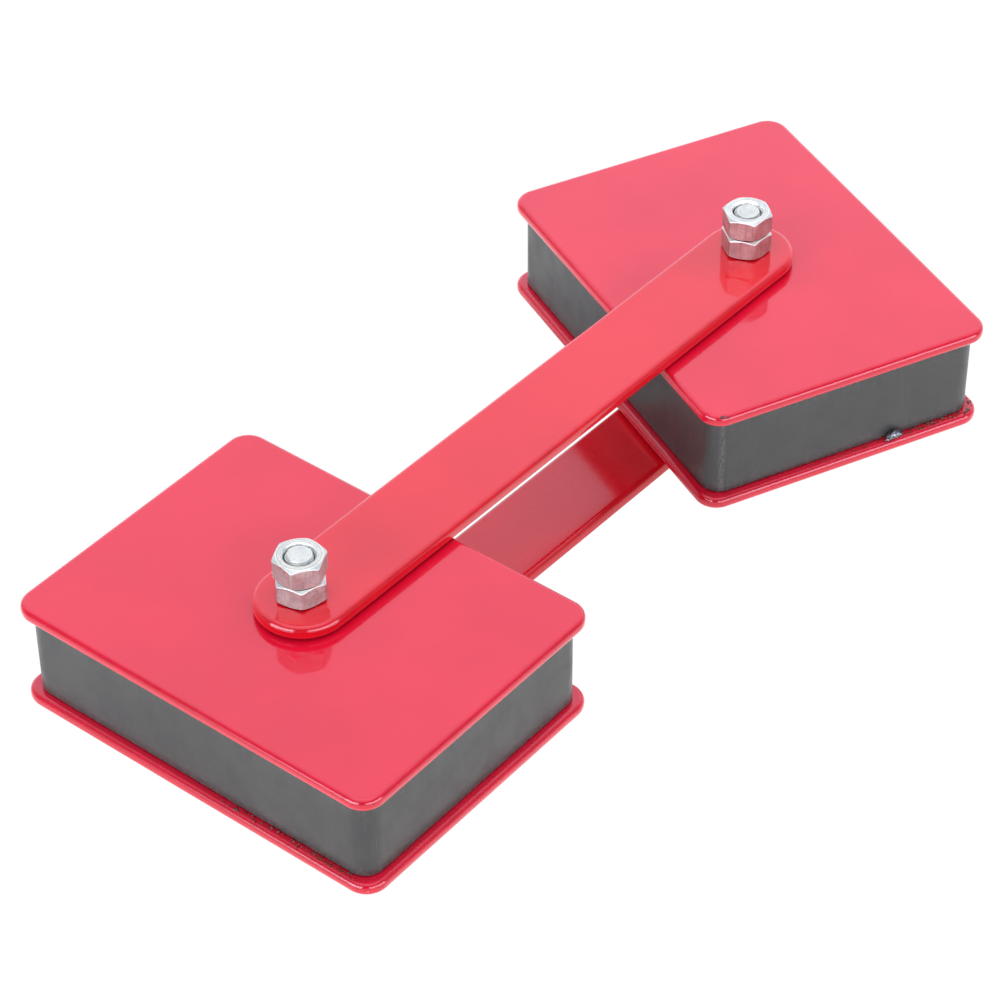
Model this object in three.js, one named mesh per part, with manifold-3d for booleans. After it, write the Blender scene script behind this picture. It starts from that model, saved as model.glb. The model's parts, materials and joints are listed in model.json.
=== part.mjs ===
// Adjustable welding magnet holder.
//
// Two rectangular magnet blocks are joined by a pair of flat steel link bars, one above and one
// below. A single M6 bolt runs up through the middle of each block and through both bars, and two
// hex nuts on top, a clamp nut and a jam nut, lock the block at the angle it was turned to.
// Each block is a sandwich: two steel pole plates with a moulded body between them that holds two
// ferrite slabs and a steel sleeve round the bolt.
//
// Units are millimetres. Origin: centre of the underside of bolt A's head, on block A's swivel
// axis, at the level the holder stands on. +X runs along the bars from bolt A to bolt B, +Z is up.

import * as THREE from 'three';
import { mergeVertices } from 'three/addons/utils/BufferGeometryUtils.js';
import Module from 'manifold-3d';

const { degToRad } = THREE.MathUtils;

// ---- driving dimensions ---------------------------------------------------------------------
const PIVOT_SPACING = 147.5;        // bolt A axis to bolt B axis

// One entry per swivel axis. Angles are degrees about +Z; those of the bolt head and the nuts
// give the direction of a hex corner.
const PIVOTS = [
  { id: 'a', x: 0, blockAngle: 0.9, headAngle: 12, clampNutAngle: 44.5, jamNutAngle: 25 },
  {
    id: 'b', x: PIVOT_SPACING,
    blockAngle: -23.5, headAngle: 37, clampNutAngle: 55.2, jamNutAngle: 52.6,
  },
];

const PLATE_W = 70.3;               // pole plate, along the bars when square to them
const PLATE_L = 92.6;               // pole plate, across the bars
const PLATE_T = 2.9;                // 12 gauge sheet with its coating
const PLATE_CORNER_R = 5;
const EDGE_R = 0.8;                 // rounded edges of plates and bars

const BODY_INSET = 1.9;             // body wall, in from the plate edge
const BODY_W = PLATE_W - 2 * BODY_INSET;
const BODY_L = PLATE_L - 2 * BODY_INSET;
const BODY_H = 19.5;
const BODY_CORNER_R = 4.5;
const BODY_WALL = 2.6;
const BODY_WEB = 15;                // cross web that the bolt passes through
const BODY_BORE_R = 4.8;            // clears the sleeve

const POCKET_W = BODY_W - 2 * BODY_WALL;
const POCKET_L = BODY_L / 2 - BODY_WALL - BODY_WEB / 2;
const POCKET_Y = BODY_WEB / 2 + POCKET_L / 2;   // pocket centre, either side of the bolt
const POCKET_CORNER_R = 2;

const MAGNET_W = 60;
const MAGNET_L = 33.2;
const MAGNET_H = 18.9;
const MAGNET_CORNER_R = 2.2;
const MAGNET_EDGE = 0.6;            // chamfer round the top and bottom faces

const BAR_W = 20.3;
const BAR_T = 3;
const BAR_CENTRELINE_Y = -0.5;      // the bar's centreline; its holes are on y = 0

const BOLT_R = 3;                   // M6
const HOLE_R = 3.3;                 // clearance for M6, in plates, bars and sleeve
const SLEEVE_R = 4.5;
const BOLT_END_CHAMFER = 0.7;
const BOLT_PROJECTION = 0.1;        // bolt end above the jam nut
const SHANK_OVERLAP = 1;            // shank root sunk into the head, so the two join

const HEX_FLATS = 10;               // across flats of head and nuts
const HEX_CORNER_R = HEX_FLATS / Math.sqrt(3);
const HEX_FACE_R = HEX_FLATS * 0.475;           // round face left by the turned corners
const HEX_CHAMFER_ANGLE = 30;       // degrees from the face
const HEX_CLEARANCE = 0.02;         // keeps the turning profile off the hex corners
const HEAD_H = 4;
const NUT_H = 5;
const NUT_BORE_R = 3.25;
const NUT_COUNTERSINK = 0.45;

const SWIVEL_GAP = 0.45;            // between a bar and the plate that turns on it
const STACK_GAP = 0.15;             // between pieces clamped face to face
const HEAD_GAP = 0.2;               // between the bolt head and the lower bar
const CUT_OVERRUN = 1;              // how far a cutting tool passes each face

// ---- heights, from the bench up -------------------------------------------------------------
const Z_LOWER_BAR = HEAD_H + HEAD_GAP;
const Z_BOTTOM_PLATE = Z_LOWER_BAR + BAR_T + SWIVEL_GAP;
const Z_BODY = Z_BOTTOM_PLATE + PLATE_T + STACK_GAP;
const Z_TOP_PLATE = Z_BODY + BODY_H + STACK_GAP;
const Z_UPPER_BAR = Z_TOP_PLATE + PLATE_T + SWIVEL_GAP;
const Z_CLAMP_NUT = Z_UPPER_BAR + BAR_T + STACK_GAP;
const Z_JAM_NUT = Z_CLAMP_NUT + NUT_H + STACK_GAP;
const Z_BOLT_END = Z_JAM_NUT + NUT_H + BOLT_PROJECTION;

// ---- materials ------------------------------------------------------------------------------
function standard({ color, roughness, metalness }) {
  return new THREE.MeshStandardMaterial({ color, roughness, metalness });
}

const redCoat = standard({ color: 0xd01224, roughness: 0.22, metalness: 0 });
const greyBody = standard({ color: 0x55565a, roughness: 0.5, metalness: 0 });
const zinc = standard({ color: 0xc9cdd0, roughness: 0.25, metalness: 1 });
const ferrite = standard({ color: 0x2b2b2e, roughness: 0.7, metalness: 0.1 });
const plainSteel = standard({ color: 0x8d9196, roughness: 0.4, metalness: 1 });

// ---- solids ---------------------------------------------------------------------------------
const wasm = await Module();
wasm.setup();

// Normals and UVs go first, since they would keep vertices on seams and creases from merging.
function toSolid(geometry) {
  const bare = geometry.clone();
  bare.deleteAttribute('normal');
  bare.deleteAttribute('uv');
  const merged = mergeVertices(bare, 1e-4);
  return new wasm.Manifold(new wasm.Mesh({
    numProp: 3,
    vertProperties: new Float32Array(merged.attributes.position.array),
    triVerts: new Uint32Array(merged.index.array),
  }));
}

function toGeometry(solid) {
  const { numVert, numProp, vertProperties, triVerts } = solid.getMesh();
  const positions = new Float32Array(numVert * 3);
  for (let i = 0; i < numVert; i++) {
    for (let k = 0; k < 3; k++) positions[3 * i + k] = vertProperties[numProp * i + k];
  }
  const geometry = new THREE.BufferGeometry();
  geometry.setAttribute('position', new THREE.BufferAttribute(positions, 3));
  geometry.setIndex(new THREE.BufferAttribute(new Uint32Array(triVerts), 1));
  geometry.computeVertexNormals();
  return geometry;
}

function cut(geometry, ...tools) {
  let solid = toSolid(geometry);
  for (const tool of tools) solid = solid.subtract(toSolid(tool));
  return toGeometry(solid);
}

// Cutting tool for a hole on y = 0 through a piece that stands on z.
function drill(radius, x, z, thickness) {
  return new THREE.CylinderGeometry(radius, radius, thickness + 2 * CUT_OVERRUN, 32)
    .rotateX(Math.PI / 2)
    .translate(x, 0, z + thickness / 2);
}

// Profile of [radius, z] points turned about the Z axis.
function revolve(profile, segments) {
  const points = profile.map(([radius, z]) => new THREE.Vector2(radius, z));
  return new THREE.LatheGeometry(points, segments).rotateX(Math.PI / 2);
}

// Adds a rounded rectangle, centred on x = 0 and y = centreY, to a shape or path.
function roundedRect(width, length, radius, target = new THREE.Shape(), centreY = 0) {
  const right = width / 2;
  const back = centreY + length / 2;
  const front = centreY - length / 2;
  target.moveTo(-right + radius, front);
  target.lineTo(right - radius, front);
  target.absarc(right - radius, front + radius, radius, -Math.PI / 2, 0, false);
  target.lineTo(right, back - radius);
  target.absarc(right - radius, back - radius, radius, 0, Math.PI / 2, false);
  target.lineTo(-right + radius, back);
  target.absarc(-right + radius, back - radius, radius, Math.PI / 2, Math.PI, false);
  target.lineTo(-right, front + radius);
  target.absarc(-right + radius, front + radius, radius, Math.PI, 1.5 * Math.PI, false);
  return target;
}

// Slab standing on z with eased edges. The easing grows innerShape outwards by `edge`.
function softSlab(innerShape, { thickness, edge, z, edgeSteps = 2, curveSegments = 3 }) {
  return new THREE.ExtrudeGeometry(innerShape, {
    depth: thickness - 2 * edge,
    bevelEnabled: true,
    bevelThickness: edge,
    bevelSize: edge,
    bevelSegments: edgeSteps,
    curveSegments,
  }).translate(0, 0, z + edge);
}

// Hexagonal prism standing on z, its corners turned off below and, if asked, above.
function hexPrism(height, z, angle, chamferTop) {
  const drop = (HEX_CORNER_R - HEX_FACE_R) * Math.tan(degToRad(HEX_CHAMFER_ANGLE));
  const outerR = HEX_CORNER_R + HEX_CLEARANCE;
  const top = z + height;
  const hex = new THREE.CylinderGeometry(HEX_CORNER_R, HEX_CORNER_R, height, 6)
    .rotateX(Math.PI / 2)
    .rotateZ(degToRad(angle) + Math.PI / 2)
    .translate(0, 0, z + height / 2);
  const upperEdge = chamferTop ? [[outerR, top - drop], [HEX_FACE_R, top]] : [[outerR, top]];
  const turned = revolve(
    [[0, z], [HEX_FACE_R, z], [outerR, z + drop], ...upperEdge, [0, top]],
    30,
  );
  return toSolid(hex).intersect(toSolid(turned));
}

// ---- pieces ---------------------------------------------------------------------------------
function polePlate(z) {
  const innerShape = roundedRect(
    PLATE_W - 2 * EDGE_R,
    PLATE_L - 2 * EDGE_R,
    PLATE_CORNER_R - EDGE_R,
  );
  const slab = softSlab(innerShape, { thickness: PLATE_T, edge: EDGE_R, z });
  return cut(slab, drill(HOLE_R, 0, z, PLATE_T));
}

function linkBar(z) {
  const endR = BAR_W / 2 - EDGE_R;
  const innerShape = new THREE.Shape();
  innerShape.absarc(PIVOT_SPACING, BAR_CENTRELINE_Y, endR, -Math.PI / 2, Math.PI / 2, false);
  innerShape.absarc(0, BAR_CENTRELINE_Y, endR, Math.PI / 2, 1.5 * Math.PI, false);
  const slab = softSlab(innerShape, { thickness: BAR_T, edge: EDGE_R, z, curveSegments: 9 });
  return cut(slab, ...PIVOTS.map(({ x }) => drill(HOLE_R, x, z, BAR_T)));
}

// Frame with an open pocket either side of the cross web.
function mouldedBody() {
  const outline = roundedRect(BODY_W, BODY_L, BODY_CORNER_R);
  for (const side of [1, -1]) {
    outline.holes.push(
      roundedRect(POCKET_W, POCKET_L, POCKET_CORNER_R, new THREE.Path(), side * POCKET_Y),
    );
  }
  const frame = new THREE.ExtrudeGeometry(outline, {
    depth: BODY_H,
    bevelEnabled: false,
    curveSegments: 3,
  }).translate(0, 0, Z_BODY);
  return cut(frame, drill(BODY_BORE_R, 0, Z_BODY, BODY_H));
}

// Magnet centred in its pocket: side 1 towards the block's +Y, -1 towards its -Y.
function magnetSlab(side) {
  const innerShape = roundedRect(
    MAGNET_W - 2 * MAGNET_EDGE,
    MAGNET_L - 2 * MAGNET_EDGE,
    MAGNET_CORNER_R - MAGNET_EDGE,
  );
  return softSlab(innerShape, {
    thickness: MAGNET_H,
    edge: MAGNET_EDGE,
    z: Z_BODY + (BODY_H - MAGNET_H) / 2,
    edgeSteps: 1,
    curveSegments: 2,
  }).translate(0, side * POCKET_Y, 0);
}

function sleeve() {
  const top = Z_BODY + BODY_H;
  return revolve(
    [[HOLE_R, Z_BODY], [SLEEVE_R, Z_BODY], [SLEEVE_R, top], [HOLE_R, top], [HOLE_R, Z_BODY]],
    32,
  );
}

function nut(z, angle) {
  const top = z + NUT_H;
  // The 45 degree countersinks carry on past both faces.
  const mouthR = NUT_BORE_R + NUT_COUNTERSINK + CUT_OVERRUN;
  const bore = revolve([
    [0, z - CUT_OVERRUN],
    [mouthR, z - CUT_OVERRUN],
    [NUT_BORE_R, z + NUT_COUNTERSINK],
    [NUT_BORE_R, top - NUT_COUNTERSINK],
    [mouthR, top + CUT_OVERRUN],
    [0, top + CUT_OVERRUN],
  ], 24);
  return toGeometry(hexPrism(NUT_H, z, angle, true).subtract(toSolid(bore)));
}

function bolt(angle) {
  const shankRoot = HEAD_H - SHANK_OVERLAP;
  const shank = revolve([
    [0, shankRoot],
    [BOLT_R, shankRoot],
    [BOLT_R, Z_BOLT_END - BOLT_END_CHAMFER],
    [BOLT_R - BOLT_END_CHAMFER, Z_BOLT_END],
    [0, Z_BOLT_END],
  ], 24);
  return toGeometry(hexPrism(HEAD_H, 0, angle, false).add(toSolid(shank)));
}

// ---- assembly -------------------------------------------------------------------------------
function mesh(name, geometry, material) {
  const piece = new THREE.Mesh(geometry, material);
  piece.name = name;
  return piece;
}

function block({ id, x, blockAngle }) {
  const group = new THREE.Group();
  group.position.x = x;
  group.rotation.z = degToRad(blockAngle);
  group.add(
    mesh(`block_${id}_bottom_plate`, polePlate(Z_BOTTOM_PLATE), redCoat),
    mesh(`block_${id}_body`, mouldedBody(), greyBody),
    mesh(`block_${id}_magnet_1`, magnetSlab(1), ferrite),
    mesh(`block_${id}_magnet_2`, magnetSlab(-1), ferrite),
    mesh(`block_${id}_sleeve`, sleeve(), plainSteel),
    mesh(`block_${id}_top_plate`, polePlate(Z_TOP_PLATE), redCoat),
  );
  return group;
}

function fastener({ id, x, headAngle, clampNutAngle, jamNutAngle }) {
  const group = new THREE.Group();
  group.position.x = x;
  group.add(
    mesh(`bolt_${id}`, bolt(headAngle), zinc),
    mesh(`clamp_nut_${id}`, nut(Z_CLAMP_NUT, clampNutAngle), zinc),
    mesh(`jam_nut_${id}`, nut(Z_JAM_NUT, jamNutAngle), zinc),
  );
  return group;
}

const holder = new THREE.Group();
holder.add(
  mesh('lower_link_bar', linkBar(Z_LOWER_BAR), redCoat),
  mesh('upper_link_bar', linkBar(Z_UPPER_BAR), redCoat),
  ...PIVOTS.map(block),
  ...PIVOTS.map(fastener),
);

export default holder;
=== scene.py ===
"""Magnet holder: blocks A and B, tied together by two flat link bars.

Each block is a moulded body, holding two magnets and a sleeve, between two red coated plates.
A bolt runs up through it along +Z, its head at z = 0, with a clamp nut and a jam nut. The blocks
are turned about their bolts. Shapes are in mm in a block's own axes (X across, Y along), unless
a comment says otherwise; materials, lights and camera are in metres.
"""

import json
import math

import bmesh
import bpy
import numpy as np
from mathutils import Matrix, Vector
from mathutils.geometry import delaunay_2d_cdt

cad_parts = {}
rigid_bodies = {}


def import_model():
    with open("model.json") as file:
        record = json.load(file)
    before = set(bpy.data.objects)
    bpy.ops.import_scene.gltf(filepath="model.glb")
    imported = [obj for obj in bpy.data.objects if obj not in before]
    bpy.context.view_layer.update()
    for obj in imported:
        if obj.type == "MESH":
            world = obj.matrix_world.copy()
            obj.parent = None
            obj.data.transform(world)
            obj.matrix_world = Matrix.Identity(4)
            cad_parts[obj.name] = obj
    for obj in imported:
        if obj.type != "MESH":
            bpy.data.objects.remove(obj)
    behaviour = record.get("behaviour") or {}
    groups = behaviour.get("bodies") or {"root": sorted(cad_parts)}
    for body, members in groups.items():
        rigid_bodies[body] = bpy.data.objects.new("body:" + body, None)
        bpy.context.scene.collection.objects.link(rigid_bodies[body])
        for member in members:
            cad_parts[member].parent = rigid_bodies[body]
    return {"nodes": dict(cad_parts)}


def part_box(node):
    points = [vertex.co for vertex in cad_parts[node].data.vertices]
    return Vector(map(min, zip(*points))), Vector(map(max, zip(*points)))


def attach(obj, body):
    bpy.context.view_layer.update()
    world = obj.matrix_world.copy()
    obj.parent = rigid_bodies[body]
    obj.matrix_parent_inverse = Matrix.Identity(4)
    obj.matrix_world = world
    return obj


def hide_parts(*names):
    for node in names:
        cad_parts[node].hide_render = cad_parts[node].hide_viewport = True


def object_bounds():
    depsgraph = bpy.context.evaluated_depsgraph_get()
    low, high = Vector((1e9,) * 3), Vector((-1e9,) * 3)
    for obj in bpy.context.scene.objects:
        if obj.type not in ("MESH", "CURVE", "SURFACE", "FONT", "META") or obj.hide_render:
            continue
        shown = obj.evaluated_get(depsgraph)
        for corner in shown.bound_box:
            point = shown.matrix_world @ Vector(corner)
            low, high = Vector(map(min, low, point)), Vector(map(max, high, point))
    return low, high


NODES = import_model()["nodes"]
CAD_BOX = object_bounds()

MM = 0.001
TO_MM = 1000
TAU = 2 * math.pi


# ---------------------------------------------------------------- measures of the CAD nodes, mm
def box_mm(node):
    low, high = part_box(node)
    return np.array(low) * TO_MM, np.array(high) * TO_MM


def z_span(node):
    low, high = box_mm(node)
    return float(low[2]), float(high[2])


def axis_of(node):
    low, high = box_mm(node)
    return (low[:2] + high[:2]) / 2


def points_about(node, centre):
    return np.array([v.co for v in NODES[node].data.vertices])[:, :2] * TO_MM - centre


def yaw_of(node):
    """Angle of a rectangular plate about +Z, from its flat vertical sides."""
    cos_sum = sin_sum = 0.0
    for face in NODES[node].data.polygons:
        normal = face.normal
        if abs(normal.z) < 0.02:
            angle = math.atan2(normal.y, normal.x)
            cos_sum += face.area * math.cos(4 * angle)
            sin_sum += face.area * math.sin(4 * angle)
    return math.atan2(sin_sum, cos_sum) / 4


def turned_size(node, yaw, centre):
    """Width and length of a node along axes turned by `yaw`."""
    points = points_about(node, centre)
    cos, sin = math.cos(yaw), math.sin(yaw)
    across = points[:, 0] * cos + points[:, 1] * sin
    along = -points[:, 0] * sin + points[:, 1] * cos
    return across.max() - across.min(), along.max() - along.min()


def hex_angle(node, centre):
    """Direction of one corner of a nut or a bolt head about +Z, in degrees."""
    points = points_about(node, centre)
    radius = np.hypot(points[:, 0], points[:, 1])
    far = points[radius > radius.max() - 0.02]
    angle = np.arctan2(far[:, 1], far[:, 0])
    return math.degrees(math.atan2(np.sin(6 * angle).mean(), np.cos(6 * angle).mean()) / 6)


def rotate(x, y, yaw):
    return x * math.cos(yaw) - y * math.sin(yaw), x * math.sin(yaw) + y * math.cos(yaw)


# ---------------------------------------------------------------- driving dimensions, mm
AXIS = {block: axis_of(f"bolt_{block}") for block in "ab"}
YAW = {block: yaw_of(f"block_{block}_top_plate") for block in "ab"}
PLATE_SIZE = {k: turned_size(f"block_{k}_top_plate", YAW[k], AXIS[k]) for k in "ab"}
BODY_SIZE = {k: turned_size(f"block_{k}_body", YAW[k], AXIS[k]) for k in "ab"}

PLATE_CORNER_R = 5.0
COATED_EDGE_R = 1.2         # rounded rims of the plates and the bars
BAR_LOW_EDGE_R = 0.9
BOLT_HOLE_R = 3.3
HOLE_EDGE_R = 0.3

BODY_CORNER_R = 4.5
BODY_EDGE_R = 0.32
BODY_WALL = 2.6
BODY_WEB = 15.0             # solid between the two magnet pockets
POCKET_CORNER_R = 2.0
BOSS_HOLE_R = 4.8

ROUGH_EDGE = 0.03           # deepest unevenness of a rim
ROUGH_REACH = 1.2           # inset at which it has faded out
FLATNESS_WAVES = (38, 70)   # wavelengths of the faces' unevenness
WALL_WAVES = (24, 40)       # wavelengths of the body walls' unevenness

ACROSS_FLATS = 9.9          # nuts and bolt heads
HEX_CORNER_R = 0.7
CHAMFER_R = ACROSS_FLATS * 0.475
CHAMFER_SLOPE = math.tan(math.radians(30))
HEAD_TOP = 4.0
THREAD_FROM = 27.0
BOLT_END_GAP = {"a": 0.06, "b": 0.32}   # bolt end below the CAD bolt's

PITCH = 1.0
CREST_R, ROOT_R = 2.95, 2.40
THREAD_CLEAR = 0.08
THREAD_STEPS = 12           # rings per turn
SHANK_FILLET_R = 0.25

BLOCK_SEED = {"a": 100, "b": 200}
DEBRIS_SEED = {"a": 31, "b": 32}


# ---------------------------------------------------------------- seeded waves
def waves(seed, wavelengths):
    """Smooth noise over x and y, about -1 to 1: four plane waves of each wavelength."""
    rng = np.random.default_rng(seed)
    parts = []
    for length in wavelengths:
        for _ in range(4):
            angle = rng.uniform(0, TAU)
            parts.append((TAU / length * math.cos(angle), TAU / length * math.sin(angle),
                          rng.uniform(0, TAU), length))
    total = sum(part[3] for part in parts)
    return lambda x, y: sum(length / total * np.sin(along_x * x + along_y * y + phase)
                            for along_x, along_y, phase, length in parts)


def loop_wave(seed, count):
    """Smooth noise round a closed loop of `count` points, about -1 to 1."""
    rng = np.random.default_rng(seed)
    turn = np.arange(count) / count * TAU
    wave = sum(rng.uniform(0.4, 1.0) * np.sin(harmonic * turn + rng.uniform(0, TAU))
               for harmonic in (5, 9, 14, 23, 31))
    return wave / (np.abs(wave).max() + 1e-9)


# ---------------------------------------------------------------- outlines
# Columns: x, y and the x, y of the normal out of the material.
def arc_points(x, y, radius, start, end, count):
    angle = np.radians(np.linspace(start, end, count))
    cos, sin = np.cos(angle), np.sin(angle)
    return np.stack([x + radius * cos, y + radius * sin, cos, sin], 1)


def straight(start, end, normal, count, soft=0.35):
    """Points between two ends, with one `soft` from each end so that the side shades flat."""
    start, end = np.array(start, float), np.array(end, float)
    length = np.linalg.norm(end - start)
    share = np.concatenate([[soft / length], np.linspace(0, 1, count + 2)[1:-1],
                            [1 - soft / length]])
    points = start + (end - start) * share[:, None]
    return np.concatenate([points, np.tile(normal, (len(share), 1))], 1)


def rect_outline(width, length, radius, corner_steps, side_steps, centre_y=0.0):
    x, y = width / 2 - radius, length / 2 - radius
    corners = [(x, y, 0), (-x, y, 90), (-x, -y, 180), (x, -y, 270)]
    parts = []
    for i, (corner_x, corner_y, start) in enumerate(corners):
        parts.append(arc_points(corner_x, corner_y, radius, start, start + 90, corner_steps))
        angle = math.radians(start + 90)
        normal = (math.cos(angle), math.sin(angle))
        next_x, next_y, _ = corners[(i + 1) % 4]
        parts.append(straight((corner_x + radius * normal[0], corner_y + radius * normal[1]),
                              (next_x + radius * normal[0], next_y + radius * normal[1]),
                              normal, side_steps))
    outline = np.concatenate(parts)
    outline[:, 1] += centre_y
    return outline


def stadium_outline(x_low, x_high, y, width):
    """Bar with round ends about (x_low, y) and (x_high, y)."""
    radius = width / 2
    cap_steps, side_steps = 56, 60
    return np.concatenate([
        arc_points(x_high, y, radius, -90, 90, cap_steps),
        straight((x_high, y + radius), (x_low, y + radius), (0, 1), side_steps),
        arc_points(x_low, y, radius, 90, 270, cap_steps),
        straight((x_low, y - radius), (x_high, y - radius), (0, -1), side_steps),
    ])


def circle_hole(x, y, radius):
    count = 48
    angle = -np.arange(count) / count * TAU
    cos, sin = np.cos(angle), np.sin(angle)
    return np.stack([x + radius * cos, y + radius * sin, -cos, -sin], 1)


def as_hole(outline):
    hole = outline[::-1].copy()
    hole[:, 2:] *= -1
    return hole


def hex_outline(start):
    """Hexagon with slightly rounded corners; one corner points along `start` degrees."""
    steps = 7
    centre_r = (ACROSS_FLATS / 2 - HEX_CORNER_R) / math.cos(math.pi / 6)
    parts = []
    for k in range(6):
        here, middle, after = (math.radians(start + 60 * k + extra) for extra in (0, 30, 60))
        degrees = start + 60 * k
        x, y = centre_r * math.cos(here), centre_r * math.sin(here)
        next_x, next_y = centre_r * math.cos(after), centre_r * math.sin(after)
        normal = (math.cos(middle), math.sin(middle))
        out_x, out_y = HEX_CORNER_R * normal[0], HEX_CORNER_R * normal[1]
        parts.append(arc_points(x, y, HEX_CORNER_R, degrees - 30, degrees + 30, steps))
        parts.append(straight((x + out_x, y + out_y), (next_x + out_x, next_y + out_y),
                              normal, steps, soft=0.08))
    return np.concatenate(parts)


# ---------------------------------------------------------------- mesh building
def finish_mesh(name, verts, faces, attributes=None):
    """Mesh in metres from points in mm, smooth, with its normals outwards."""
    mesh = bpy.data.meshes.new(f"{name}_mesh")
    mesh.from_pydata([tuple(v) for v in np.asarray(verts) * MM], [], faces)
    for key, values in (attributes or {}).items():
        attribute = mesh.attributes.new(key, "FLOAT", "POINT")
        attribute.data.foreach_set("value", np.asarray(values, np.float32))
    bm = bmesh.new()
    bm.from_mesh(mesh)
    bmesh.ops.recalc_face_normals(bm, faces=bm.faces)
    if bm.calc_volume(signed=True) < 0:
        bmesh.ops.reverse_faces(bm, faces=bm.faces)
    bm.to_mesh(mesh)
    bm.free()
    mesh.polygons.foreach_set("use_smooth", [True] * len(mesh.polygons))
    mesh.update()
    return mesh


def place(name, mesh, material, body, replaced=None, xy=(0, 0), yaw=0.0):
    mesh.transform(Matrix.Rotation(yaw, 4, "Z"))
    piece = bpy.data.objects.new(name, mesh)
    bpy.context.scene.collection.objects.link(piece)
    piece.matrix_world = Matrix.Translation((xy[0] * MM, xy[1] * MM, 0))
    mesh.materials.append(material)
    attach(piece, body)
    if replaced:
        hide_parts(replaced)


def bridge(ring_a, ring_b):
    """Quads between two closed rings of vertex numbers."""
    count = len(ring_a)
    return [(ring_a[i], ring_a[(i + 1) % count], ring_b[(i + 1) % count], ring_b[i])
            for i in range(count)]


def edge_profile(z_low, z_high, high_r, low_r, segments, rows, support=0.12):
    """(inset, z, edge weight) from the top face, round the rims, to the bottom face."""
    def weight(angle):
        return 0.35 + 0.65 * math.sin(2 * angle)

    stations = [(high_r + support, z_high, 0.0)]
    for k in range(segments + 1):
        angle = math.pi / 2 * k / segments
        stations.append((high_r * (1 - math.sin(angle)), z_high - high_r * (1 - math.cos(angle)),
                         weight(angle)))
    wall_low, wall_high = z_low + low_r, z_high - high_r
    for k in range(1, rows + 1):
        share = k / (rows + 1)
        stations.append((0.0, wall_high + (wall_low - wall_high) * share,
                         0.3 * abs(2 * share - 1) ** 3))
    for k in range(segments + 1):
        angle = math.pi / 2 * (1 - k / segments)
        stations.append((low_r * (1 - math.sin(angle)), z_low + low_r * (1 - math.cos(angle)),
                         weight(angle)))
    stations.append((low_r + support, z_low, 0.0))
    return stations


def is_inside(polygon, point):
    x, y = point
    a, b = polygon, np.roll(polygon, -1, 0)
    crosses = (a[:, 1] > y) != (b[:, 1] > y)
    with np.errstate(divide="ignore", invalid="ignore"):
        cross_x = (b[:, 0] - a[:, 0]) * (y - a[:, 1]) / (b[:, 1] - a[:, 1]) + a[:, 0]
    return bool(np.sum(crosses & (x < cross_x)) % 2)


def gap_to(ring, point):
    return np.min(np.linalg.norm(ring - point, axis=1))


def face_points(outer, holes, grid):
    """Grid points well inside the outer ring and clear of the holes."""
    low, high = outer.min(0), outer.max(0)
    points = []
    for x in np.arange(low[0] + grid * 0.6, high[0] - grid * 0.3, grid):
        for y in np.arange(low[1] + grid * 0.6, high[1] - grid * 0.3, grid):
            point = np.array([x, y])
            if not is_inside(outer, point) or gap_to(outer, point) < grid * 0.45:
                continue
            if any(is_inside(hole, point) or gap_to(hole, point) < grid * 0.4 for hole in holes):
                continue
            points.append(point)
    return points


class FlatMesh:
    """A flat piece as it grows. Point attributes: `edge` is 1 on a worn rim, `inset` the
    distance in from the side, `corner` 1 where the outline turns."""

    def __init__(self, seed, warp):
        self.verts, self.faces = [], []
        self.marks = {"edge": [], "inset": [], "corner": []}
        self.flatness = waves(seed, FLATNESS_WAVES)
        self.warp = warp

    def add(self, points, z, **marks):
        first, count = len(self.verts), len(points)
        height = z + self.warp * self.flatness(points[:, 0], points[:, 1])
        self.verts.extend(np.column_stack([points, height]))
        for key, values in marks.items():
            self.marks[key].extend(np.broadcast_to(values, (count,)))
        return list(range(first, first + count))

    def ring_points(self, rings):
        return [np.array([self.verts[i][:2] for i in ring]) for ring in rings]

    def wall(self, outline, profile, jitter, wave_depth=0.0, wave=None):
        """Sweep the profile round an outline; gives the top and the bottom ring."""
        path, normal = outline[:, :2], outline[:, 2:]
        turn = np.abs(np.cross(normal, np.roll(normal, -1, 0)))
        corner = ((turn + np.roll(turn, 1)) > 1e-3).astype(float)
        along = np.cumsum(np.r_[0, np.linalg.norm(np.diff(path, axis=0), axis=1)])
        rings = []
        for inset, z, edge in profile:
            fade = max(0.0, 1 - inset / ROUGH_REACH)
            points = path - normal * inset
            points = points - normal * ((0.5 + 0.5 * jitter) * ROUGH_EDGE * fade)[:, None]
            if wave is not None and inset < 0.6:
                swell = wave(along, np.full(len(outline), z))
                points = points - normal * (wave_depth * (0.5 + 0.5 * swell))[:, None]
            rings.append(self.add(points, z, edge=edge, inset=inset, corner=corner))
        for ring_a, ring_b in zip(rings[:-1], rings[1:]):
            self.faces += bridge(ring_a, ring_b)
        return rings[0], rings[-1]

    def cap(self, rings, z, inner, insets):
        """Triangulate a face between its rings, through the inner points."""
        outer_xy, *holes_xy = self.ring_points(rings)
        ids, edges = [], []
        for ring in rings:
            start, count = len(ids), len(ring)
            ids += ring
            edges += [(start + i, start + (i + 1) % count) for i in range(count)]
        ids += self.add(np.reshape(inner, (-1, 2)), z, edge=0.0, inset=insets, corner=0.0)
        points = [Vector((float(self.verts[i][0]), float(self.verts[i][1]))) for i in ids]
        _, _, triangles, sources, _, _ = delaunay_2d_cdt(points, edges, [], 0, 1e-7, True)
        back = [ids[source[0]] for source in sources]
        for triangle in triangles:
            face = [back[i] for i in triangle]
            middle = np.mean([self.verts[i][:2] for i in face], 0)
            if is_inside(outer_xy, middle) and not any(is_inside(h, middle) for h in holes_xy):
                self.faces.append(tuple(face))


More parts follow.
